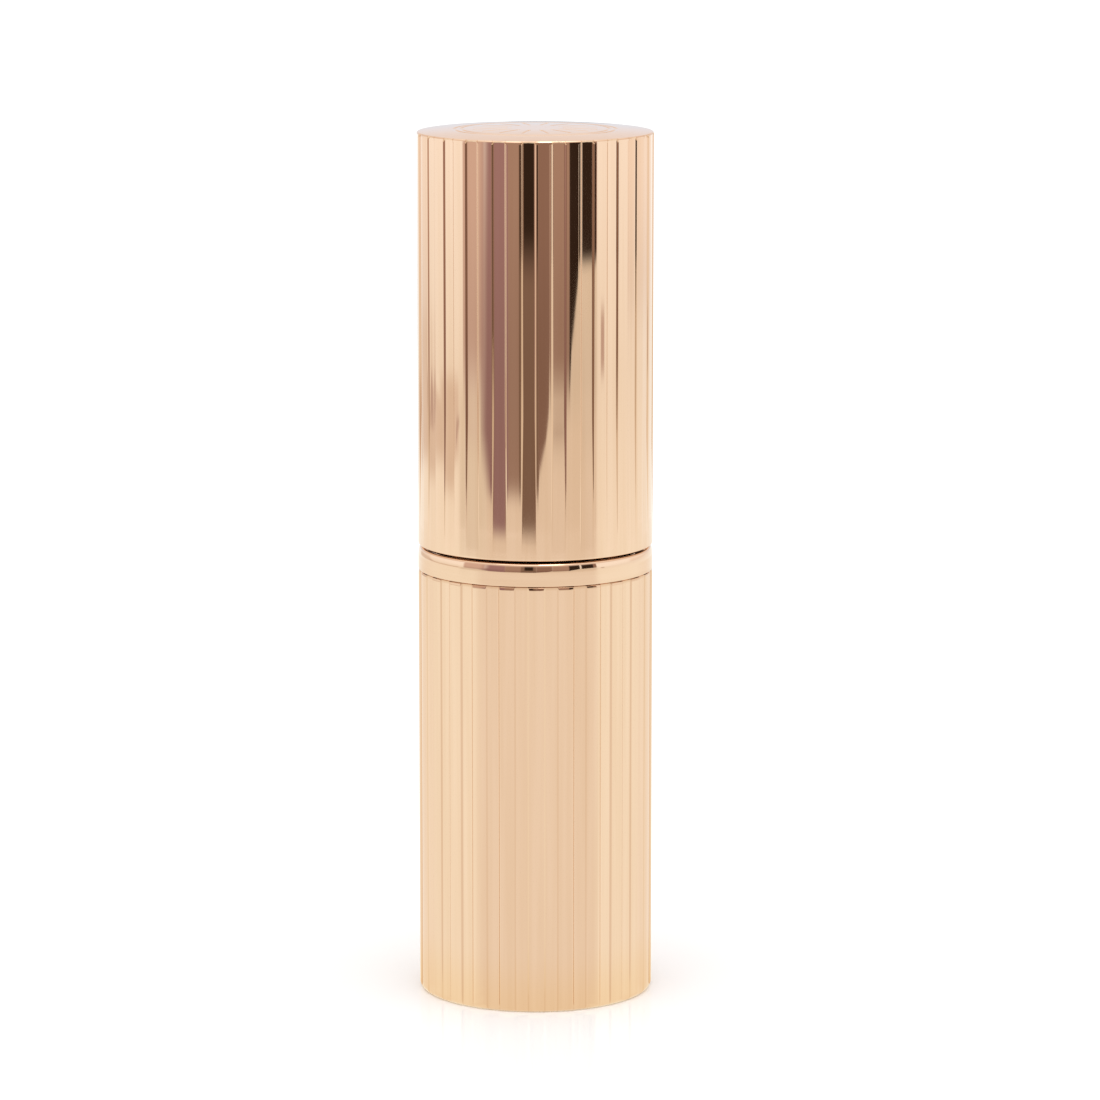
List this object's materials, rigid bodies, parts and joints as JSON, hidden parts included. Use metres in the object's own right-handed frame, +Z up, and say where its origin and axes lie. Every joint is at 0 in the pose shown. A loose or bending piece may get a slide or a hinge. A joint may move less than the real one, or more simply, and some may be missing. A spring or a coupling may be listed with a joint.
{
  "type": "lipstick case",
  "caption": "Round ribbed metal lipstick case with a pull-off cap over a swivel sleeve that raises a slanted lipstick bullet.",
  "frame": {"origin": "centre of the round foot, on the surface that the case stands on", "axes": "+Z up the case's axis towards the crown of the cap, -Y towards the front, where the bullet's slanted face looks, +X to the right seen from the front"},
  "size_m": [0.0208, 0.0208, 0.0771],
  "materials": {
    "ribbed_metal": "polished aluminium, anodised rose gold, ribbed",
    "smooth_metal": "polished aluminium, anodised rose gold, smooth",
    "steel": "turned, zinc plated",
    "liner_plastic": "fine moulded matt, black",
    "core_plastic": "moulded, natural white",
    "mechanism_plastic": "moulded, ivory, greased",
    "cup_plastic": "moulded, ivory",
    "silicone": "soft translucent silicone",
    "label": "satin coated label, blank",
    "lipstick": "smooth wax with a satin bloom, rose nude"
  },
  "bodies": {
    "base": {"base_shell": "ribbed_metal", "bottom_label": "label", "base_weight": "steel", "base_core": "core_plastic", "collar_band": "smooth_metal", "neck": "smooth_metal", "inner_tube": "mechanism_plastic", "o_ring": "silicone"},
    "swivel": {"swivel_sleeve": "smooth_metal", "spiral_sleeve": "mechanism_plastic"},
    "carrier": {"cup": "cup_plastic", "bullet": "lipstick"},
    "cap": {"cap_shell": "ribbed_metal", "cap_weight": "steel", "cap_liner": "liner_plastic"}
  },
  "joints": [
    {"name": "swivel_turn", "type": "hinge", "parent": "base", "child": "swivel", "pos_m": [0, 0, 0.035], "axis": [0, 0, -1], "range_deg": [0, 480]},
    {"name": "carrier_rise", "type": "slide", "parent": "base", "child": "carrier", "axis": [0, 0, 1], "range_m": [0, 0.02]},
    {"name": "cap_pull", "type": "slide", "parent": "base", "child": "cap", "axis": [0, 0, 1], "range_m": [0, 0.04]}
  ],
  "couplings": [
    {"joint": "swivel_turn", "follows": "carrier_rise", "rad_per_m": 418.88}
  ]
}
